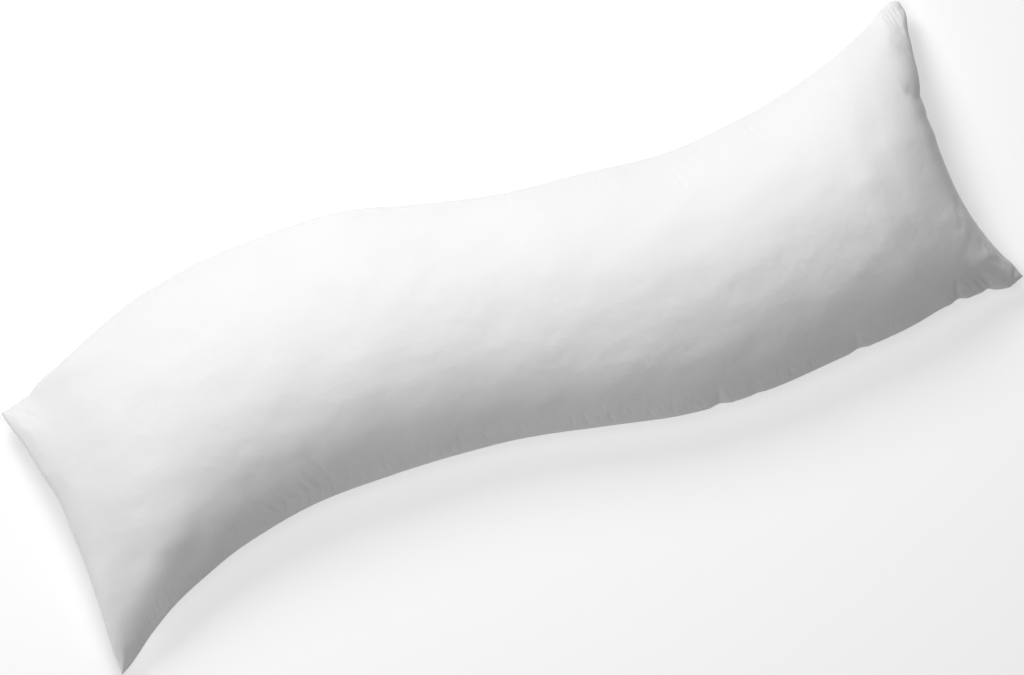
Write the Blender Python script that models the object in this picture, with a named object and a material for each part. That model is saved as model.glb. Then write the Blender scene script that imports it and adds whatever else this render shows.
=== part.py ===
"""Body pillow: one long filled cushion, lying on its back in a soft S.

Metres, +Z up, standing on z = 0. The origin is on the surface below the middle of the cushion's box.
+X runs along the cushion and +Y across it. Two equal panels meet at a seam that runs right round. The
upper panel is crowned. The lower one is alike, pressed flat where the cushion lies on it.
"""

import math
from collections import namedtuple

import bmesh
import bpy
from mathutils import Vector

NAME = "body_pillow"

# The filled cushion, seen from above: one row for each section across it, from the left end to the right.
#   along   place of the section's two seam points on the long axis
#   bend    how far the middle of the section lies to one side of the long axis
#   half    half of the width from seam to seam
#   crown   height of the upper panel above the seams
#   lean    how far the crown lies to the near side of the middle, as a share of half
Section = namedtuple("Section", "along bend half crown lean")
SECTIONS = (
    Section(-0.829, -0.039, 0.2415, 0.124, 0.10),
    Section(-0.794, -0.029, 0.2370, 0.125, 0.11),
    Section(-0.752, -0.008, 0.2320, 0.126, 0.12),
    Section(-0.693, 0.016, 0.2260, 0.127, 0.13),
    Section(-0.626, 0.039, 0.2260, 0.128, 0.15),
    Section(-0.550, 0.059, 0.2260, 0.130, 0.16),
    Section(-0.416, 0.073, 0.2250, 0.132, 0.17),
    Section(-0.281, 0.066, 0.2260, 0.131, 0.15),
    Section(-0.164, 0.051, 0.2250, 0.129, 0.13),
    Section(-0.046, 0.020, 0.2150, 0.127, 0.10),
    Section(0.088, -0.019, 0.2140, 0.127, 0.05),
    Section(0.223, -0.050, 0.2210, 0.129, 0.00),
    Section(0.365, -0.072, 0.2170, 0.131, -0.03),
    Section(0.508, -0.072, 0.2180, 0.132, -0.03),
    Section(0.601, -0.067, 0.2240, 0.131, -0.02),
    Section(0.676, -0.057, 0.2290, 0.130, 0.00),
    Section(0.735, -0.048, 0.2380, 0.128, 0.01),
    Section(0.774, -0.042, 0.2470, 0.126, 0.02),
    Section(0.801, -0.040, 0.2580, 0.125, 0.03),
    Section(0.829, -0.037, 0.2530, 0.125, 0.03),
)

# How far each end seam is drawn in between its two corners. The first column runs across the cushion, from
# -1 at one long side to 1 at the other.
EndSeam = namedtuple("EndSeam", "across left right")
END_SEAMS = (
    EndSeam(-1.00, -0.003, -0.002),
    EndSeam(-0.67, 0.009, 0.027),
    EndSeam(-0.36, 0.018, 0.041),
    EndSeam(0.00, 0.023, 0.040),
    EndSeam(0.38, 0.019, 0.030),
    EndSeam(0.70, 0.011, 0.011),
    EndSeam(0.92, -0.001, -0.003),
    EndSeam(1.00, -0.003, 0.000),
)
END_SEAM_REACH = 0.35  # the drawing-in has faded out this far from an end

# Small pulls on the outline, which give it its notches and blunt corners. Each moves the places in plan that
# lie within its reach of (x, y), less the farther off they are.
Pull = namedtuple("Pull", "x y reach dx dy")
PULLS = (
    # the blunt corner, far right, and the kinks of the right end seam below it
    Pull(0.818, 0.217, 0.017, 0.0013, 0.0042),
    Pull(0.824, 0.166, 0.030, -0.0015, 0.0007),
    Pull(0.806, 0.097, 0.037, 0.0023, -0.0010),
    Pull(0.795, 0.052, 0.022, -0.0028, 0.0007),
    Pull(0.792, 0.020, 0.034, -0.0020, 0.0004),
    # the near right corner, with two notches in its side seam
    Pull(0.821, -0.263, 0.024, 0.0018, 0.0007),
    Pull(0.814, -0.295, 0.015, 0.0000, 0.0009),
    Pull(0.783, -0.291, 0.015, -0.0008, -0.0018),
    Pull(0.767, -0.287, 0.012, 0.0008, 0.0026),
    Pull(0.714, -0.284, 0.018, 0.0016, 0.0048),
    Pull(0.687, -0.284, 0.047, 0.0001, 0.0022),
    # three shallow notches farther along the near side
    Pull(0.526, -0.290, 0.020, 0.0014, 0.0031),
    Pull(0.342, -0.285, 0.017, 0.0007, 0.0015),
    Pull(0.276, -0.280, 0.022, 0.0017, 0.0037),
    # the left end: its hollow seam, and both of its corners
    Pull(-0.806, 0.028, 0.067, 0.0042, -0.0004),
    Pull(-0.776, 0.215, 0.020, 0.0001, -0.0030),
    Pull(-0.832, -0.279, 0.050, 0.0042, -0.0010),
)

# Heights of the seam above the surface that the cushion lies on.
SIDE_SEAM_HEIGHT = 0.080
END_SEAM_HEIGHT = 0.066
CORNER_HEIGHT = 0.042
CORNER_REACH = 0.150  # along either seam, from a corner to where the seam has its full height

# Each panel rises across the cushion as 1 - across ** PANEL_CURVE, and along it within this far of an end.
PANEL_CURVE = 2.05
LEFT_ROUNDING = 0.450
RIGHT_ROUNDING = 0.085
END_ROUNDING_POWER = 0.48
UNDERSIDE_DEPTH = 0.125  # how far the lower panel would hang below the seams in the air
FLATTENING_BLEND = 0.008  # half the height over which the lower panel turns into its flat patch

# Soft troughs in the upper panel, and ridges, which have a negative depth. Each runs straight from its first
# point to its second in plan, and dies out towards both.
Crease = namedtuple("Crease", "x1 y1 x2 y2 width depth")
CREASES = (
    # the pinched corner, far left
    Crease(-0.826, 0.209, -0.770, 0.160, 0.018, 0.0030),
    # the soft ridge from the near left corner to the crown
    Crease(-0.825, -0.270, -0.600, -0.075, 0.080, -0.0030),
    # two pleats in the blunt corner, far right
    Crease(0.800, 0.219, 0.805, 0.162, 0.016, 0.0040),
    Crease(0.822, 0.217, 0.818, 0.162, 0.014, 0.0035),
    # dimples where the right end is drawn in
    Crease(0.822, 0.146, 0.788, 0.142, 0.022, 0.0030),
    Crease(0.812, 0.100, 0.776, 0.098, 0.022, 0.0030),
    Crease(0.798, 0.062, 0.760, 0.070, 0.022, 0.0035),
    Crease(0.790, -0.070, 0.752, -0.078, 0.024, 0.0030),
    # the fan of gathers in the near right corner
    Crease(0.802, -0.184, 0.738, -0.230, 0.046, 0.0030),
    Crease(0.808, -0.240, 0.770, -0.226, 0.014, 0.0030),
    Crease(0.780, -0.284, 0.742, -0.228, 0.030, 0.0030),
    Crease(0.713, -0.288, 0.725, -0.240, 0.018, 0.0040),
    # broad slack troughs that slant across the near side of the right half
    Crease(0.440, -0.171, 0.690, -0.118, 0.070, 0.0022),
    Crease(0.493, -0.235, 0.787, -0.123, 0.070, 0.0022),
    Crease(0.290, -0.250, 0.420, -0.205, 0.070, 0.0020),
    Crease(0.420, -0.262, 0.560, -0.236, 0.060, 0.0020),
    # slack along the hollow near side of the left half
    Crease(-0.660, -0.195, -0.570, -0.080, 0.050, 0.0022),
    Crease(-0.520, -0.155, -0.470, -0.050, 0.055, 0.0022),
    Crease(-0.390, -0.140, -0.370, -0.040, 0.050, 0.0020),
)

# Quads in each panel, and how strongly their rows crowd towards the seams: 0 even, 1 fully crowded.
QUADS_ALONG = 124
QUADS_ACROSS = 20
CROWDING_ALONG = 0.60
CROWDING_ACROSS = 0.70
WELD_DISTANCE = 0.00005

COTTON_COLOUR = (0.86, 0.86, 0.87, 1.0)
COTTON_ROUGHNESS = 0.75


def clear_scene():
    for thing in list(bpy.data.objects):
        bpy.data.objects.remove(thing)


def read_column(rows, key, column, place):
    """The value of one column at a place on the key column, on a smooth curve through the rows."""
    keys = [getattr(row, key) for row in rows]
    values = [getattr(row, column) for row in rows]
    last = len(rows) - 1

    def slope(k):
        low, high = max(k - 1, 0), min(k + 1, last)
        return (values[high] - values[low]) / (keys[high] - keys[low])

    start = 0
    while start < last - 1 and place > keys[start + 1]:
        start += 1
    step = keys[start + 1] - keys[start]
    t = min(max((place - keys[start]) / step, 0.0), 1.0)
    return (
        values[start] * (1 + 2 * t) * (1 - t) ** 2
        + values[start + 1] * t**2 * (3 - 2 * t)
        + slope(start) * step * t * (1 - t) ** 2
        + slope(start + 1) * step * t**2 * (t - 1)
    )


def crowded(share, crowding):
    """A share from -1 to 1, moved so that even steps become short ones near -1 and 1."""
    return (1 - crowding) * share + crowding * math.sin(share * math.pi / 2)


def eased(distance, reach):
    """0 at no distance, rising smoothly to 1 at the reach and beyond."""
    return math.sin(min(max(distance / reach, 0.0), 1.0) * math.pi / 2)


def faded(distance, reach):
    """1 at no distance, falling smoothly to 0 at the reach and beyond."""
    share = min(max(distance / reach, 0.0), 1.0)
    return 0.5 + 0.5 * math.cos(share * math.pi)


def pulled(x, y):
    """A place in plan, after the small pulls on the outline."""
    new_x, new_y = x, y
    for pull in PULLS:
        share = faded(math.hypot(x - pull.x, y - pull.y), pull.reach)
        new_x += pull.dx * share
        new_y += pull.dy * share
    return new_x, new_y


def plan_point(along, across):
    """Where a panel's point lies in plan, and its distance from the nearer end seam."""
    bend = read_column(SECTIONS, "along", "bend", along)
    half = read_column(SECTIONS, "along", "half", along)
    left = read_column(END_SEAMS, "across", "left", across)
    right = read_column(END_SEAMS, "across", "right", across)
    from_left = along - SECTIONS[0].along
    from_right = SECTIONS[-1].along - along
    x = along + left * faded(from_left, END_SEAM_REACH) - right * faded(from_right, END_SEAM_REACH)
    y = bend + half * across
    inside = min(x - (SECTIONS[0].along + left), SECTIONS[-1].along - right - x)
    x, y = pulled(x, y)
    return x, y, half, max(inside, 0.0)


def seam_height(across, half, inside):
    """Height of the seams' surface, which the two panels stand off from, at any point of the cushion."""
    side = CORNER_HEIGHT + (SIDE_SEAM_HEIGHT - CORNER_HEIGHT) * eased(inside, CORNER_REACH)
    from_side = (1 - abs(across)) * half
    end = CORNER_HEIGHT + (END_SEAM_HEIGHT - CORNER_HEIGHT) * eased(from_side, CORNER_REACH)
    at_end = faded(inside, CORNER_REACH)
    return side * (1 - at_end) + end * at_end


def swell(along, across, inside):
    """Share of its full height that a panel has at one point."""
    lean = read_column(SECTIONS, "along", "lean", along)
    moved = across + lean * (1 - across**2)
    arch = 1 - min(abs(moved), 1.0) ** PANEL_CURVE
    towards_right = min(max(along / SECTIONS[-1].along + 0.5, 0.0), 1.0)
    rounding = LEFT_ROUNDING + (RIGHT_ROUNDING - LEFT_ROUNDING) * towards_right
    share = min(inside / rounding, 1.0)
    return arch * (1 - (1 - share) ** 2) ** END_ROUNDING_POWER


def crease_drop(x, y):
    """How far all the creases together lower the upper panel at one place."""
    drop = 0.0
    for crease in CREASES:
        run = Vector((crease.x2 - crease.x1, crease.y2 - crease.y1))
        offset = Vector((x - crease.x1, y - crease.y1))
        share = offset.dot(run) / run.length_squared
        if not 0.0 < share < 1.0:
            continue
        beside = abs(run.cross(offset)) / run.length
        drop += crease.depth * math.sin(share * math.pi) * faded(beside, crease.width / 2)
    return drop


def pressed_flat(height):
    """The same height, or 0 where the panel would lie below the surface, with a soft turn between."""
    if height >= FLATTENING_BLEND:
        return height
    if height <= -FLATTENING_BLEND:
        return 0.0
    return (height + FLATTENING_BLEND) ** 2 / (4 * FLATTENING_BLEND)


def upper_point(along, across):
    x, y, half, inside = plan_point(along, across)
    share = swell(along, across, inside)
    crown = read_column(SECTIONS, "along", "crown", along)
    slack = min(1.0, 4 * share)  # no crease reaches the seam itself
    return Vector((x, y, seam_height(across, half, inside) + crown * share - slack * crease_drop(x, y)))


def lower_point(along, across):
    x, y, half, inside = plan_point(along, across)
    share = swell(along, across, inside)
    return Vector((x, y, pressed_flat(seam_height(across, half, inside) - UNDERSIDE_DEPTH * share)))


def add_panel(mesh, point_at):
    """One panel of the cover: a grid whose points are carried to the panel's surface."""
    grid = bmesh.ops.create_grid(mesh, x_segments=QUADS_ALONG, y_segments=QUADS_ACROSS, size=1.0)
    half_length = SECTIONS[-1].along
    for corner in grid["verts"]:
        along = half_length * crowded(corner.co.x, CROWDING_ALONG)
        across = crowded(corner.co.y, CROWDING_ACROSS)
        corner.co = point_at(along, across)


def stand_on_origin(mesh):
    """Moves the cushion so that the middle of its box is above the origin."""
    for axis in (0, 1):
        places = [corner.co[axis] for corner in mesh.verts]
        middle = (min(places) + max(places)) / 2
        for corner in mesh.verts:
            corner.co[axis] -= middle


def make_cotton():
    cotton = bpy.data.materials.new("white_cotton")
    cotton.use_nodes = True
    shader = cotton.node_tree.nodes["Principled BSDF"]
    shader.inputs["Base Color"].default_value = COTTON_COLOUR
    shader.inputs["Roughness"].default_value = COTTON_ROUGHNESS
    shader.inputs["Metallic"].default_value = 0.0
    return cotton


def make_pillow():
    """The filled cover, as one closed body: both panels, welded to each other along the seam."""
    mesh = bmesh.new()
    add_panel(mesh, upper_point)
    add_panel(mesh, lower_point)
    bmesh.ops.remove_doubles(mesh, verts=mesh.verts, dist=WELD_DISTANCE)
    bmesh.ops.recalc_face_normals(mesh, faces=mesh.faces)
    stand_on_origin(mesh)
    data = bpy.data.meshes.new(NAME)
    mesh.to_mesh(data)
    mesh.free()
    data.shade_smooth()
    data.materials.append(make_cotton())
    return bpy.data.objects.new(NAME, data)


def main():
    clear_scene()
    parts = bpy.data.collections.new("body pillow parts")
    bpy.context.scene.collection.children.link(parts)
    parts.objects.link(make_pillow())


main()
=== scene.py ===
"""The body pillow as it looks: a smooth white cotton cover, plumply filled, lying on its back.

Metres, +Z up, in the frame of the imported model. The cover is two equal panels, sewn to each other right
round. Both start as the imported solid's own form, on a fine grid. Blender's cloth simulation then blows them
up against that form: the cloth has a little slack beside the seams, which gathers there into small puckers,
as it does on a sewn cushion. The main creases, and the lumps of the filling, are then set into the upper
panel from tables. The lower panel is pressed flat where the cushion lies on it.
"""

import math
from collections import namedtuple

import bpy
import numpy as np
from mathutils import Matrix, Vector


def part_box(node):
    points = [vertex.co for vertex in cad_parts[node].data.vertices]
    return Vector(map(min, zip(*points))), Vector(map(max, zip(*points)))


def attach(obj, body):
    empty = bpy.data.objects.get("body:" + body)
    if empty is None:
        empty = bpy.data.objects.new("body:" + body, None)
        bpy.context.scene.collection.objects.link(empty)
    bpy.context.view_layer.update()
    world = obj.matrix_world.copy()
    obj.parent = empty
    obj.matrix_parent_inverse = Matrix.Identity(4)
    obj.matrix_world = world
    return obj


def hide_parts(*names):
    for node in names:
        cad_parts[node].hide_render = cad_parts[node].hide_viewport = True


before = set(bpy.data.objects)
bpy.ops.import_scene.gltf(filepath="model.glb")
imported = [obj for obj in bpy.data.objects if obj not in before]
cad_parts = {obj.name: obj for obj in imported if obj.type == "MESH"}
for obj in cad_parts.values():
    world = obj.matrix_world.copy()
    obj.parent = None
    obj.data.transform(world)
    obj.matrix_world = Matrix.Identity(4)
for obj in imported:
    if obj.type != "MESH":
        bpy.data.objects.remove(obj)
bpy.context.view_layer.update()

NODE = "body_pillow"
BODY = "root"

# The filled cushion, seen from above: one row for each section across it, from the left end to the right.
#   along   place of the section's two seam points on the long axis
#   bend    how far the middle of the section lies to one side of the long axis
#   half    half of the width from seam to seam
#   crown   height of the upper panel above the seams
#   lean    how far the crown lies to the near side of the middle, as a share of half
Section = namedtuple("Section", "along bend half crown lean")
SECTIONS = (
    Section(-0.829, -0.039, 0.2415, 0.124, 0.10),
    Section(-0.794, -0.029, 0.2370, 0.125, 0.11),
    Section(-0.752, -0.008, 0.2320, 0.126, 0.12),
    Section(-0.693, 0.016, 0.2260, 0.127, 0.13),
    Section(-0.626, 0.039, 0.2260, 0.128, 0.15),
    Section(-0.550, 0.059, 0.2260, 0.130, 0.16),
    Section(-0.416, 0.073, 0.2250, 0.132, 0.17),
    Section(-0.281, 0.066, 0.2260, 0.131, 0.15),
    Section(-0.164, 0.051, 0.2250, 0.129, 0.13),
    Section(-0.046, 0.020, 0.2150, 0.127, 0.10),
    Section(0.088, -0.019, 0.2140, 0.127, 0.05),
    Section(0.223, -0.050, 0.2210, 0.129, 0.00),
    Section(0.365, -0.072, 0.2170, 0.131, -0.03),
    Section(0.508, -0.072, 0.2180, 0.132, -0.03),
    Section(0.601, -0.067, 0.2240, 0.131, -0.02),
    Section(0.676, -0.057, 0.2290, 0.130, 0.00),
    Section(0.735, -0.048, 0.2380, 0.128, 0.01),
    Section(0.774, -0.042, 0.2470, 0.126, 0.02),
    Section(0.801, -0.040, 0.2580, 0.125, 0.03),
    Section(0.829, -0.037, 0.2530, 0.125, 0.03),
)

# How far each end seam is drawn in between its two corners. The first column runs across the cushion, from
# -1 at the near side to 1 at the far side.
EndSeam = namedtuple("EndSeam", "across left right")
END_SEAMS = (
    EndSeam(-1.00, -0.003, -0.002),
    EndSeam(-0.67, 0.009, 0.027),
    EndSeam(-0.36, 0.018, 0.041),
    EndSeam(0.00, 0.023, 0.040),
    EndSeam(0.38, 0.019, 0.030),
    EndSeam(0.70, 0.011, 0.011),
    EndSeam(0.92, -0.001, -0.003),
    EndSeam(1.00, -0.003, 0.000),
)
END_SEAM_REACH = 0.35  # the drawing-in has faded out this far from an end

# Small pulls on the outline, which give it its notches and blunt corners. Each moves the places in plan that
# lie within its reach of (x, y), less the farther off they are.
Pull = namedtuple("Pull", "x y reach dx dy")
PULLS = (
    # the blunt corner, far right, and the kinks of the right end seam below it
    Pull(0.818, 0.217, 0.017, 0.0013, 0.0042),
    Pull(0.824, 0.166, 0.030, -0.0015, 0.0007),
    Pull(0.806, 0.097, 0.037, 0.0023, -0.0010),
    Pull(0.795, 0.052, 0.022, -0.0028, 0.0007),
    Pull(0.792, 0.020, 0.034, -0.0020, 0.0004),
    # the near right corner, with two notches in its side seam
    Pull(0.821, -0.263, 0.024, 0.0018, 0.0007),
    Pull(0.814, -0.295, 0.015, 0.0000, 0.0009),
    Pull(0.783, -0.291, 0.015, -0.0008, -0.0018),
    Pull(0.767, -0.287, 0.012, 0.0008, 0.0026),
    Pull(0.714, -0.284, 0.018, 0.0016, 0.0048),
    Pull(0.687, -0.284, 0.047, 0.0001, 0.0022),
    # three shallow notches farther along the near side
    Pull(0.526, -0.290, 0.020, 0.0014, 0.0031),
    Pull(0.342, -0.285, 0.017, 0.0007, 0.0015),
    Pull(0.276, -0.280, 0.022, 0.0017, 0.0037),
    # the left end: its hollow seam, and both of its corners
    Pull(-0.806, 0.028, 0.067, 0.0042, -0.0004),
    Pull(-0.776, 0.215, 0.020, 0.0001, -0.0030),
    Pull(-0.832, -0.279, 0.050, 0.0042, -0.0010),
)

# Heights of the seam above the surface that the cushion lies on.
SIDE_SEAM_HEIGHT = 0.080
END_SEAM_HEIGHT = 0.066
CORNER_HEIGHT = 0.042
CORNER_REACH = 0.150  # along either seam, from a corner to where the seam has its full height

# Each panel rises across the cushion as 1 - across ** PANEL_CURVE, and along it over each end's rounding.
PANEL_CURVE = 2.05
LEFT_ROUNDING = 0.450
RIGHT_ROUNDING = 0.085
END_ROUNDING_POWER = 0.48
UNDERSIDE_DEPTH = 0.125  # how far the lower panel would hang below the seams in the air
FLATTENING_BLEND = 0.008  # half the height over which the lower panel turns into its flat patch
SEAM_ROLL = 0.004  # each panel stands off steeply from the seam by this much, and bends over within the reach
SEAM_ROLL_REACH = 0.009

# The fine grid of each panel, and how strongly its rows crowd towards the seams.
QUADS_ALONG = 560
QUADS_ACROSS = 76
CROWDING_ALONG = 0.25
CROWDING_ACROSS = 0.75

# The cloth's slack beside the seams: how much longer it is, each way, than the form that it starts from.
MOST_SLACK = 0.034
SLACK_REACH = 0.048  # inwards from a seam to where the slack has faded out
SLACK_SPACING = 0.085  # along a seam, from one change of its slack to the next
NEAR_SLACK = (0.15, 0.60)  # least and most slack along each seam, as shares of the most slack of all
FAR_SLACK = (0.10, 0.40)
LEFT_SLACK = (0.05, 0.20)
RIGHT_SLACK = (0.10, 0.35)
SLACK_SEED = 7
BULGE_REACH = 0.020  # nearer to a seam than this, the blown-up cloth is kept from bulging out over it

# The cloth simulation: thin light cotton under an even pressure, its seams held where they are.
FRAMES = 14
PRESSURE = 30.0
CLOTH_MASS = 0.002
TENSION = 40.0
COMPRESSION = 5.0
SHEAR = 5.0
BENDING = 0.1
DAMPING = 5.0
BENDING_DAMPING = 0.5
QUALITY = 6

# Soft troughs in the upper panel, and ridges, which have a negative depth. Each runs from its first point to
# its second in plan, with its middle moved sideways by its bow, and dies out towards both.
Crease = namedtuple("Crease", "x1 y1 x2 y2 bow width depth")
CREASES = (
    # the pinched corner, far left
    Crease(-0.826, 0.209, -0.770, 0.160, 0.002, 0.014, 0.0016),
    Crease(-0.815, 0.180, -0.775, 0.158, -0.002, 0.012, 0.0012),
    # the soft ridge from the near left corner to the crown
    Crease(-0.825, -0.270, -0.600, -0.075, 0.016, 0.080, -0.0030),
    # pleats and a tuck in the blunt corner, far right
    Crease(0.793, 0.214, 0.802, 0.172, 0.001, 0.008, 0.0022),
    Crease(0.800, 0.219, 0.808, 0.164, 0.001, 0.009, 0.0034),
    Crease(0.808, 0.219, 0.814, 0.160, 0.001, 0.009, 0.0034),
    Crease(0.816, 0.216, 0.818, 0.180, 0.001, 0.008, 0.0024),
    Crease(0.829, 0.218, 0.828, 0.190, 0.000, 0.012, 0.0040),
    # a dimple and a ridge beside the kink of the right end seam
    Crease(0.798, 0.062, 0.768, 0.074, 0.000, 0.018, 0.0024),
    Crease(0.792, 0.046, 0.764, 0.054, 0.000, 0.016, -0.0012),
    # the fan of gathers in the near right corner, and the fold behind its tip
    Crease(0.802, -0.184, 0.738, -0.230, 0.004, 0.046, 0.0016),
    Crease(0.780, -0.284, 0.742, -0.228, 0.002, 0.030, 0.0010),
    Crease(0.713, -0.288, 0.725, -0.246, 0.000, 0.014, 0.0026),
    Crease(0.749, -0.284, 0.735, -0.250, 0.001, 0.010, 0.0016),
    Crease(0.766, -0.290, 0.752, -0.254, 0.001, 0.010, 0.0020),
    Crease(0.781, -0.294, 0.763, -0.257, 0.001, 0.011, 0.0024),
    Crease(0.829, -0.264, 0.812, -0.298, 0.000, 0.012, 0.0028),
    # folds behind two notches of the near side seam
    Crease(0.527, -0.291, 0.536, -0.258, 0.001, 0.013, 0.0008),
    Crease(0.277, -0.281, 0.288, -0.246, 0.001, 0.013, 0.0008),
    # broad slack troughs that slant across the near side of the right half
    Crease(0.440, -0.171, 0.690, -0.118, 0.006, 0.070, 0.0008),
    Crease(0.493, -0.235, 0.787, -0.123, 0.008, 0.070, 0.0008),
    Crease(0.290, -0.250, 0.420, -0.205, 0.004, 0.070, 0.0012),
    Crease(0.420, -0.262, 0.560, -0.236, 0.004, 0.060, 0.0012),
    # slack along the hollow near side of the left half
    Crease(-0.660, -0.195, -0.570, -0.080, 0.006, 0.050, 0.0010),
    Crease(-0.520, -0.155, -0.470, -0.050, 0.005, 0.055, 0.0010),
    Crease(-0.390, -0.140, -0.370, -0.040, 0.004, 0.050, 0.0008),
)

# Rows of small puckers, evenly spaced from one point of a seam to another. Each runs inwards in the direction
# of its row's turn, in degrees from +X towards +Y. Their lengths, depths and turns vary a little.
Gather = namedtuple("Gather", "x1 y1 x2 y2 count turn length width depth")
GATHERS = (
    # the hollow near side of the left half
    Gather(-0.545, -0.150, -0.365, -0.129, 10, 125.0, 0.046, 0.011, 0.0013),
    # along the hollow of the right end
    Gather(0.825, 0.172, 0.804, 0.082, 6, 190.0, 0.024, 0.012, 0.0014),
    Gather(0.797, 0.056, 0.786, -0.037, 6, 190.0, 0.022, 0.013, 0.0012),
    Gather(0.788, -0.056, 0.790, -0.150, 5, 180.0, 0.022, 0.014, 0.0014),
    # the near right corner
    Gather(0.802, -0.214, 0.816, -0.264, 5, 148.0, 0.030, 0.009, 0.0016),
)
GATHER_CHANGE = 0.35  # most that a pucker's length and depth differ from its row's, as a share
GATHER_TURN_CHANGE = 9.0
GATHER_SEED = 5
LIP_HEIGHT = 0.20  # how far the cloth stands up beside a crease, as a share of its depth
LIP_PLACE = 0.6  # from the crease's middle to the top of its lip, as a share of its width
LIP_REACH = 0.4  # from there to where the lip has faded out, likewise
FULL_CREASE = 0.10  # creases fade out towards a seam, from where a panel has this share of its height

# The filling's own unevenness, which swells and hollows the upper panel: broad lumps and small ones, each
# longer along the cushion than it is wide.
Lump = namedtuple("Lump", "long wide height seed")
LUMPS = (
    Lump(0.130, 0.090, 0.0016, 21),
    Lump(0.065, 0.038, 0.0011, 26),
    Lump(0.034, 0.019, 0.0005, 23),
)
RANDOM_LINE = 512  # random values in a line, and along each side of a square of them
RANDOM_SQUARE = 256

# The cotton. Colours are linear, pitches in metres.
COTTON_COLOUR = (0.790, 0.784, 0.787, 1.0)
COTTON_SHADE = (0.757, 0.750, 0.754, 1.0)
SHADE_SCALE = 9.0  # cells in a metre of the noise that changes the shade and the roughness
COTTON_ROUGHNESS = (0.72, 0.86)
COTTON_SPECULAR = 0.3
COTTON_SHEEN = 0.12
COTTON_SHEEN_ROUGHNESS = 0.45
THREAD_PITCH = 0.00036
THREAD_WAVER = 0.4
BAND_SCALE = 20.0 / math.tau  # bands in a metre of a wave texture with a scale of 1
WEAVE_DEPTH = 0.00005
RUMPLE_SIZE = 0.016
RUMPLE_DEPTH = 0.0008
FLAT_COVER = (1.710, 1.050, 1.0)  # length, and width of both panels together, which the UV map spreads
MAP_MARGIN = 0.004  # round each panel in the UV map, as a share of the map's side
MIX_SHARE, MIX_FIRST, MIX_SECOND, MIX_COLOUR = 0, 6, 7, 2  # a colour Mix node's inputs, and its output

# The stage. The floor glows a little, which keeps the cushion's shadow on it faint.
FLOOR_HALF = 9.0
FLOOR_GAP = 0.0004
FLOOR_COLOUR = (0.50, 0.50, 0.50, 1.0)
FLOOR_GLOW = 0.50
LAMP_DISTANCE = 3.4
LAMP_SIZE = 1.6
Lamp = namedtuple("Lamp", "name tilt azimuth power")  # tilt from straight up, azimuth from +X towards +Y
LAMPS = (
    Lamp("key", 45.0, 90.0, 84.0),
    Lamp("key_right", 62.0, 60.0, 9.5),
    Lamp("overhead", 0.0, 0.0, 39.0),
    Lamp("fill_near", 45.0, 330.0, 4.0),
    Lamp("side_left", 62.0, 180.0, 6.0),
    Lamp("rim_left", 75.0, 180.0, 25.0),
)

# The camera looks straight down at the cushion's face, turned so that the cushion slants.
CAMERA_TURN = 24.16
CAMERA_TARGET = (0.0042, -0.0323, 0.09)
CAMERA_DISTANCE = 20.0
CAMERA_CLIP_END = 80.0
VIEW_WIDTH = 1.720
SENSOR_WIDTH = 36.0

# What is known at each point of a panel's grid: its section's place on the long axis, its share of the way
# from the middle to the far side, its section's half width, its place in plan, and how far inside the nearer
# end seam it lies.
Plan = namedtuple("Plan", "along across half x y inside")


def read_column(rows, key, column, places):
    """One column's values at many places on the key column, on a smooth curve through the rows."""
    keys = np.array([getattr(row, key) for row in rows])
    values = np.array([getattr(row, column) for row in rows])
    last = len(rows) - 1
    low = np.maximum(np.arange(last + 1) - 1, 0)
    high = np.minimum(np.arange(last + 1) + 1, last)
    slopes = (values[high] - values[low]) / (keys[high] - keys[low])
    start = np.clip(np.searchsorted(keys, places) - 1, 0, last - 1)
    step = keys[start + 1] - keys[start]
    t = np.clip((places - keys[start]) / step, 0, 1)
    return (
        values[start] * (1 + 2 * t) * (1 - t) ** 2
        + values[start + 1] * t**2 * (3 - 2 * t)
        + slopes[start] * step * t * (1 - t) ** 2
        + slopes[start + 1] * step * t**2 * (t - 1)
    )


def crowded(shares, crowding):
    """Shares from -1 to 1, moved so that even steps become short ones near -1 and 1."""
    return (1 - crowding) * shares + crowding * np.sin(shares * math.pi / 2)


def eased(distance, reach):
    """0 at no distance, rising smoothly to 1 at the reach and beyond."""
    return np.sin(np.clip(distance / reach, 0, 1) * math.pi / 2)


def faded(distance, reach):
    """1 at no distance, falling smoothly to 0 at the reach and beyond."""
    return 0.5 + 0.5 * np.cos(np.clip(distance / reach, 0, 1) * math.pi)


def wandering(places, spacing, seed):
    """A smooth random line from 0 to 1, with a new value at each spacing."""
    values = np.random.default_rng(seed).uniform(0, 1, RANDOM_LINE)
    steps = places / spacing + RANDOM_LINE // 2
    low = np.floor(steps).astype(int)
    t = steps - low
    t = t * t * (3 - 2 * t)
    return values[low] * (1 - t) + values[low + 1] * t


def lumpy(columns, rows, seed):
    """A smooth random surface from -1 to 1, with a new value at each whole column and row."""
    values = np.random.default_rng(seed).uniform(-1, 1, (RANDOM_SQUARE, RANDOM_SQUARE))
    columns, rows = columns + RANDOM_SQUARE // 2, rows + RANDOM_SQUARE // 2
    i, j = np.floor(columns).astype(int), np.floor(rows).astype(int)
    s, t = columns - i, rows - j
    s, t = s * s * (3 - 2 * s), t * t * (3 - 2 * t)
    near = values[i, j] * (1 - s) + values[i + 1, j] * s
    far = values[i, j + 1] * (1 - s) + values[i + 1, j + 1] * s
    return near * (1 - t) + far * t


def pulled(x, y):
    """Places in plan, after the small pulls on the outline."""
    new_x, new_y = x.copy(), y.copy()
    for pull in PULLS:
        share = faded(np.hypot(x - pull.x, y - pull.y), pull.reach)
        new_x += pull.dx * share
        new_y += pull.dy * share
    return new_x, new_y


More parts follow.
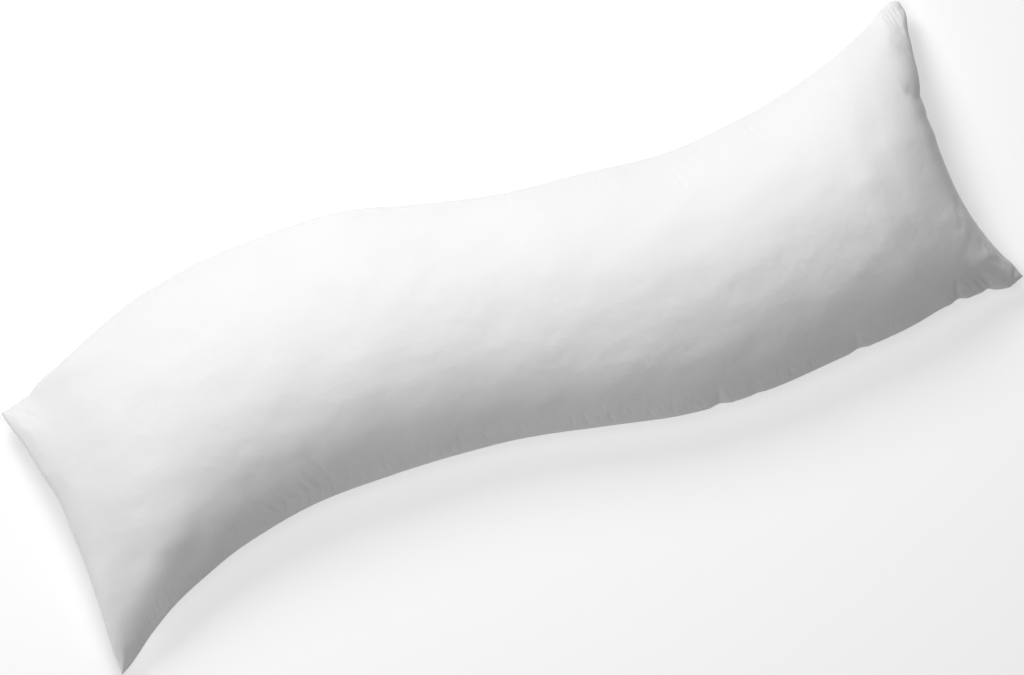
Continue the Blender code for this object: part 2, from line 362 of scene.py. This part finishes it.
def lay_out_plan():
    """Where the points of a panel's grid lie in plan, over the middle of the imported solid's box."""
    half_length = SECTIONS[-1].along
    columns = half_length * crowded(np.linspace(-1, 1, QUADS_ALONG + 1), CROWDING_ALONG)
    rows = crowded(np.linspace(-1, 1, QUADS_ACROSS + 1), CROWDING_ACROSS)
    along, across = np.meshgrid(columns, rows, indexing="ij")
    half = read_column(SECTIONS, "along", "half", along)
    left = read_column(END_SEAMS, "across", "left", across)
    right = read_column(END_SEAMS, "across", "right", across)
    x = along + left * faded(along + half_length, END_SEAM_REACH)
    x = x - right * faded(half_length - along, END_SEAM_REACH)
    y = read_column(SECTIONS, "along", "bend", along) + half * across
    from_left = x - (left - half_length)
    from_right = half_length - right - x
    inside = np.maximum(np.minimum(from_left, from_right), 0)
    low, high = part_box(NODE)
    x, y = pulled(x, y)
    x = x + (low.x + high.x - x.min() - x.max()) / 2
    y = y + (low.y + high.y - y.min() - y.max()) / 2
    return Plan(along, across, half, x, y, inside)


def from_sides(plan):
    """Distance across the cushion from the nearer side seam."""
    return (1 - abs(plan.across)) * plan.half


def from_seams(plan):
    """Distance from the nearest seam."""
    return np.minimum(from_sides(plan), plan.inside)


def seam_height(plan):
    """Height of the seams' surface, which the two panels stand off from."""
    side = CORNER_HEIGHT + (SIDE_SEAM_HEIGHT - CORNER_HEIGHT) * eased(plan.inside, CORNER_REACH)
    end = CORNER_HEIGHT + (END_SEAM_HEIGHT - CORNER_HEIGHT) * eased(from_sides(plan), CORNER_REACH)
    at_end = faded(plan.inside, CORNER_REACH)
    return side * (1 - at_end) + end * at_end


def swell(plan):
    """Share of its full height that a panel has at each point."""
    lean = read_column(SECTIONS, "along", "lean", plan.along)
    moved = plan.across + lean * (1 - plan.across**2)
    arch = 1 - np.minimum(abs(moved), 1) ** PANEL_CURVE
    towards_right = np.clip(plan.along / SECTIONS[-1].along * 2, -1, 1) / 2 + 0.5
    rounding = LEFT_ROUNDING + (RIGHT_ROUNDING - LEFT_ROUNDING) * towards_right
    share = np.minimum(plan.inside / rounding, 1)
    return arch * (1 - (1 - share) ** 2) ** END_ROUNDING_POWER


def seam_roll(plan):
    """How far a panel stands off from the seams' surface, before it swells."""
    share = np.minimum(from_seams(plan) / SEAM_ROLL_REACH, 1)
    return SEAM_ROLL * np.sqrt(1 - (1 - share) ** 2)


def panels_of(plan):
    """The upper and the lower panel before the simulation, as grids of points."""
    seams = seam_height(plan)
    share = swell(plan)
    roll = seam_roll(plan)
    crown = read_column(SECTIONS, "along", "crown", plan.along)
    upper = np.stack([plan.x, plan.y, seams + roll + (crown - SEAM_ROLL) * share], -1)
    lower = np.stack([plan.x, plan.y, seams - roll - (UNDERSIDE_DEPTH - SEAM_ROLL) * share], -1)
    return upper, lower


def number_points():
    """Numbers for the points of both panels. They share those on the seam."""
    shape = (QUADS_ALONG + 1, QUADS_ACROSS + 1)
    seam = np.zeros(shape, bool)
    seam[0, :] = seam[-1, :] = True
    seam[:, 0] = seam[:, -1] = True
    upper = np.arange(seam.size).reshape(shape)
    lower = upper.copy()
    lower[~seam] = seam.size + np.arange((~seam).sum())
    return upper, lower, seam


def quads_of(numbers):
    """The faces between the points of one panel's grid."""
    corners = (numbers[:-1, :-1], numbers[1:, :-1], numbers[1:, 1:], numbers[:-1, 1:])
    return np.stack(corners, -1).reshape(-1, 4)


def spread_flat(plan):
    """The OFBake map: both panels cut open and laid flat, one above the other."""
    along = (plan.along / SECTIONS[-1].along + 1) / 2
    across = (plan.across + 1) / 4
    upper = np.stack([along, across], -1)
    lower = np.stack([along, across + 0.5], -1)
    shrink = 1 - 2 * MAP_MARGIN
    return upper * shrink + MAP_MARGIN / 2, lower * shrink + 1.5 * MAP_MARGIN


def make_cover(plan, upper, lower):
    """The cover as one closed mesh, with its UV map. The lower panel's faces are turned over."""
    upper_numbers, lower_numbers, seam = number_points()
    points = np.concatenate([upper.reshape(-1, 3), lower[~seam]])
    upper_quads = quads_of(upper_numbers)
    lower_quads = quads_of(lower_numbers)[:, ::-1]
    data = bpy.data.meshes.new("cotton_cover")
    data.from_pydata(points.tolist(), [], np.concatenate([upper_quads, lower_quads]).tolist())
    data.shade_smooth()
    upper_map, lower_map = spread_flat(plan)
    corners = np.concatenate(
        [
            upper_map.reshape(-1, 2)[upper_quads.ravel()],
            lower_map.reshape(-1, 2)[upper_quads[:, ::-1].ravel()],
        ]
    )
    layer = data.uv_layers.new(name="OFBake")
    layer.uv.foreach_set("vector", corners.astype(np.float32).ravel())
    cover = bpy.data.objects.new("cotton_cover", data)
    bpy.context.scene.collection.objects.link(cover)
    return cover


def slack_along(places, limits, seed):
    """The share of the most slack that one seam has at each place, wandering between its limits."""
    return limits[0] + (limits[1] - limits[0]) * wandering(places, SLACK_SPACING, seed)


def tautness(plan):
    """1 where the cloth has no slack at all, down to 0 where it would have the most."""
    near = slack_along(plan.along, NEAR_SLACK, SLACK_SEED)
    far = slack_along(plan.along, FAR_SLACK, SLACK_SEED + 1)
    left = slack_along(plan.y, LEFT_SLACK, SLACK_SEED + 2)
    right = slack_along(plan.y, RIGHT_SLACK, SLACK_SEED + 3)
    sides = faded(from_sides(plan), SLACK_REACH) * np.where(plan.across < 0, near, far)
    ends = faded(plan.inside, SLACK_REACH) * np.where(plan.along < 0, left, right)
    return 1 - np.maximum(sides, ends)


def read_points(thing):
    """The points of an object's mesh, with its modifiers."""
    mesh = thing.evaluated_get(bpy.context.evaluated_depsgraph_get()).data
    points = np.empty(len(mesh.vertices) * 3, np.float32)
    mesh.vertices.foreach_get("co", points)
    return points.reshape(-1, 3).astype(float)


def write_points(thing, points):
    """Moves the points of an object's mesh."""
    thing.data.vertices.foreach_set("co", points.astype(np.float32).ravel())
    thing.data.update()


def split_panels(points):
    """The two panels' grids, out of the cover's points."""
    upper_numbers, lower_numbers, _ = number_points()
    return points[upper_numbers], points[lower_numbers]


def join_panels(upper, lower):
    """The cover's points, or their values, out of its two panels' grids."""
    _, _, seam = number_points()
    return np.concatenate([upper.reshape(seam.size, -1), lower[~seam]])


def inflate(cover, plan):
    """Blows the cover up with Blender's cloth simulation, and leaves the result in its mesh."""
    upper_numbers, lower_numbers, seam = number_points()
    held = cover.vertex_groups.new(name="held")
    held.add(upper_numbers[seam].tolist(), 1.0, "REPLACE")
    taut = cover.vertex_groups.new(name="taut")
    weights = tautness(plan)[..., None]
    for number, (weight,) in enumerate(join_panels(weights, weights).tolist()):
        taut.add([number], weight, "REPLACE")
    cloth = cover.modifiers.new("cloth", "CLOTH")
    settings = cloth.settings
    settings.quality = QUALITY
    settings.mass = CLOTH_MASS
    settings.tension_stiffness = TENSION
    settings.compression_stiffness = COMPRESSION
    settings.shear_stiffness = SHEAR
    settings.bending_stiffness = BENDING
    settings.tension_damping = DAMPING
    settings.compression_damping = DAMPING
    settings.shear_damping = DAMPING
    settings.bending_damping = BENDING_DAMPING
    settings.air_damping = DAMPING
    settings.vertex_group_mass = "held"
    settings.pin_stiffness = 1.0
    settings.shrink_min = -MOST_SLACK
    settings.shrink_max = 0.0
    settings.vertex_group_shrink = "taut"
    settings.use_pressure = True
    settings.uniform_pressure_force = PRESSURE
    settings.effector_weights.gravity = 0.0
    cloth.collision_settings.use_collision = False
    cloth.collision_settings.use_self_collision = False
    cloth.point_cache.frame_start = 1
    cloth.point_cache.frame_end = FRAMES
    for step in range(1, FRAMES + 1):
        bpy.context.scene.frame_set(step)
    points = read_points(cover)
    cover.modifiers.remove(cloth)
    cover.vertex_groups.clear()
    bpy.context.scene.frame_set(1)
    write_points(cover, points)


def held_in(grid, start, plan):
    """A blown-up panel, kept from bulging out over its seam."""
    moved = grid - start
    moved[..., :2] *= eased(from_seams(plan), BULGE_REACH)[..., None]
    return start + moved


def normals_of(grid):
    """The unit normals of a grid of points, up out of the panel."""
    along = np.gradient(grid, axis=0)
    across = np.gradient(grid, axis=1)
    normals = np.cross(along, across)
    return normals / np.linalg.norm(normals, axis=-1, keepdims=True)


def gathered():
    """The small puckers of all the rows, as creases."""
    random = np.random.default_rng(GATHER_SEED)
    puckers = []
    for row in GATHERS:
        for share in np.linspace(0, 1, row.count):
            x, y = row.x1 + (row.x2 - row.x1) * share, row.y1 + (row.y2 - row.y1) * share
            length = row.length * (1 + GATHER_CHANGE * random.uniform(-1, 1))
            depth = row.depth * (1 + GATHER_CHANGE * random.uniform(-1, 1))
            turn = math.radians(row.turn + GATHER_TURN_CHANGE * random.uniform(-1, 1))
            end_x, end_y = x + length * math.cos(turn), y + length * math.sin(turn)
            puckers.append(Crease(x, y, end_x, end_y, 0.0, row.width, depth))
    return puckers


def crease_drop(x, y):
    """How far all the creases together lower the upper panel at each place."""
    drop = np.zeros_like(x)
    for crease in (*CREASES, *gathered()):
        run_x, run_y = crease.x2 - crease.x1, crease.y2 - crease.y1
        length = math.hypot(run_x, run_y)
        share = ((x - crease.x1) * run_x + (y - crease.y1) * run_y) / length**2
        beside = (run_x * (y - crease.y1) - run_y * (x - crease.x1)) / length
        beside = abs(beside - crease.bow * 4 * share * (1 - share))
        strength = np.sin(np.clip(share, 0, 1) * math.pi)
        trough = faded(beside, crease.width / 2)
        lip = faded(abs(beside - crease.width * LIP_PLACE), crease.width * LIP_REACH)
        drop += crease.depth * strength * (trough - LIP_HEIGHT * lip)
    return drop


def set_creases(grid, plan):
    """The upper panel with its creases, and with the lumps of its filling."""
    moved = -crease_drop(plan.x, plan.y)
    for lump in LUMPS:
        moved += lump.height * lumpy(plan.x / lump.long, plan.y / lump.wide, lump.seed)
    share = np.minimum(1, swell(plan) / FULL_CREASE)
    return grid + normals_of(grid) * (moved * share)[..., None]


def pressed_flat(grid):
    """The lower panel, flat where the cushion lies on it, with a soft turn at the rim of the flat patch."""
    height = grid[..., 2]
    turn = (height + FLATTENING_BLEND) ** 2 / (4 * FLATTENING_BLEND)
    flat = np.where(height < -FLATTENING_BLEND, 0.0, np.where(height > FLATTENING_BLEND, height, turn))
    return np.concatenate([grid[..., :2], flat[..., None]], -1)


def link_sockets(tree, *pairs):
    """Links each pair of sockets, from an output to an input."""
    for source, target in pairs:
        tree.links.new(source, target)


def add_node(tree, kind, **values):
    """A shader node, with its properties and its inputs set by name."""
    node = tree.nodes.new(kind)
    for name, value in values.items():
        if name in node.inputs:
            node.inputs[name].default_value = value
        else:
            setattr(node, name, value)
    return node


def make_cotton():
    """White percale: a fine weave, a faint sheen, and small changes of shade and roughness."""
    cotton = bpy.data.materials.new("white_cotton")
    cotton.use_nodes = True
    tree = cotton.node_tree
    shader = tree.nodes["Principled BSDF"]
    shader.inputs["Metallic"].default_value = 0.0
    shader.inputs["Specular IOR Level"].default_value = COTTON_SPECULAR
    shader.inputs["Sheen Weight"].default_value = COTTON_SHEEN
    shader.inputs["Sheen Roughness"].default_value = COTTON_SHEEN_ROUGHNESS

    place = add_node(tree, "ShaderNodeTexCoord")
    noise = add_node(tree, "ShaderNodeTexNoise", Scale=SHADE_SCALE, Detail=5.0, Roughness=0.6)
    shade = add_node(tree, "ShaderNodeMix", data_type="RGBA")
    shade.inputs[MIX_FIRST].default_value = COTTON_SHADE
    shade.inputs[MIX_SECOND].default_value = COTTON_COLOUR
    rough = add_node(tree, "ShaderNodeMapRange")
    rough.inputs["To Min"].default_value = COTTON_ROUGHNESS[0]
    rough.inputs["To Max"].default_value = COTTON_ROUGHNESS[1]
    link_sockets(
        tree,
        (place.outputs["Object"], noise.inputs["Vector"]),
        (noise.outputs["Fac"], shade.inputs[MIX_SHARE]),
        (shade.outputs[MIX_COLOUR], shader.inputs["Base Color"]),
        (noise.outputs["Fac"], rough.inputs["Value"]),
        (rough.outputs["Result"], shader.inputs["Roughness"]),
    )

    flat = add_node(tree, "ShaderNodeUVMap", uv_map="OFBake")
    metres = add_node(tree, "ShaderNodeMapping", Scale=FLAT_COVER)
    threads = {"Scale": 1 / THREAD_PITCH / BAND_SCALE, "Distortion": THREAD_WAVER}
    warp = add_node(tree, "ShaderNodeTexWave", bands_direction="X", **threads)
    weft = add_node(tree, "ShaderNodeTexWave", bands_direction="Y", **threads)
    weave = add_node(tree, "ShaderNodeMath", operation="MULTIPLY")
    weave_bump = add_node(tree, "ShaderNodeBump", Strength=1.0, Distance=WEAVE_DEPTH)
    rumple = add_node(tree, "ShaderNodeTexNoise", Scale=1 / RUMPLE_SIZE, Detail=3.0, Roughness=0.45)
    rumple_bump = add_node(tree, "ShaderNodeBump", Strength=1.0, Distance=RUMPLE_DEPTH)
    link_sockets(
        tree,
        (flat.outputs["UV"], metres.inputs["Vector"]),
        (metres.outputs["Vector"], warp.inputs["Vector"]),
        (metres.outputs["Vector"], weft.inputs["Vector"]),
        (warp.outputs["Fac"], weave.inputs[0]),
        (weft.outputs["Fac"], weave.inputs[1]),
        (weave.outputs["Value"], weave_bump.inputs["Height"]),
        (place.outputs["Object"], rumple.inputs["Vector"]),
        (rumple.outputs["Fac"], rumple_bump.inputs["Height"]),
        (rumple_bump.outputs["Normal"], weave_bump.inputs["Normal"]),
        (weave_bump.outputs["Normal"], shader.inputs["Normal"]),
    )
    return cotton


def make_pillow():
    """The filled cover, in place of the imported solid."""
    plan = lay_out_plan()
    upper_start, lower_start = panels_of(plan)
    cover = make_cover(plan, upper_start, lower_start)
    inflate(cover, plan)
    upper, lower = split_panels(read_points(cover))
    upper, lower = held_in(upper, upper_start, plan), held_in(lower, lower_start, plan)
    write_points(cover, join_panels(set_creases(upper, plan), pressed_flat(lower)))
    cover.data.materials.append(make_cotton())
    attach(cover, BODY)
    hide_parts(NODE)


def make_floor():
    """A plain pale floor, just under the cushion."""
    paint = bpy.data.materials.new("pale_floor")
    paint.use_nodes = True
    shader = paint.node_tree.nodes["Principled BSDF"]
    shader.inputs["Base Color"].default_value = FLOOR_COLOUR
    shader.inputs["Roughness"].default_value = 1.0
    shader.inputs["Specular IOR Level"].default_value = 0.0
    shader.inputs["Emission Color"].default_value = (1.0, 1.0, 1.0, 1.0)
    shader.inputs["Emission Strength"].default_value = FLOOR_GLOW
    bpy.ops.mesh.primitive_grid_add(x_subdivisions=2, y_subdivisions=2, size=2 * FLOOR_HALF)
    floor = bpy.context.object
    floor.name = "floor"
    floor.location.z = -FLOOR_GAP
    floor.data.materials.append(paint)


def make_light():
    """Soft studio light: large round lamps in a dark room."""
    world = bpy.data.worlds.new("studio")
    world.use_nodes = True
    world.node_tree.nodes["Background"].inputs["Strength"].default_value = 0.0
    bpy.context.scene.world = world
    for row in LAMPS:
        tilt, azimuth = math.radians(row.tilt), math.radians(row.azimuth)
        aside = math.sin(tilt)
        towards = Vector((math.cos(azimuth) * aside, math.sin(azimuth) * aside, math.cos(tilt)))
        data = bpy.data.lights.new(row.name, "AREA")
        data.shape = "DISK"
        data.size = LAMP_SIZE
        data.energy = row.power
        lamp = bpy.data.objects.new(row.name, data)
        lamp.location = towards * LAMP_DISTANCE
        lamp.rotation_euler = towards.to_track_quat("Z", "Y").to_euler()
        lamp.visible_camera = False
        bpy.context.scene.collection.objects.link(lamp)


def make_camera():
    """A camera high above the cushion, which sees it without noticeable perspective."""
    data = bpy.data.cameras.new("camera")
    data.sensor_width = SENSOR_WIDTH
    data.lens = SENSOR_WIDTH * CAMERA_DISTANCE / VIEW_WIDTH
    data.clip_end = CAMERA_CLIP_END
    place = Vector(CAMERA_TARGET) + Vector((0, 0, CAMERA_DISTANCE))
    camera = bpy.data.objects.new("camera", data)
    camera.matrix_world = Matrix.Translation(place) @ Matrix.Rotation(math.radians(-CAMERA_TURN), 4, "Z")
    bpy.context.scene.collection.objects.link(camera)
    bpy.context.scene.camera = camera


make_pillow()
make_floor()
make_light()
make_camera()
bpy.context.scene.view_settings.view_transform = "Standard"
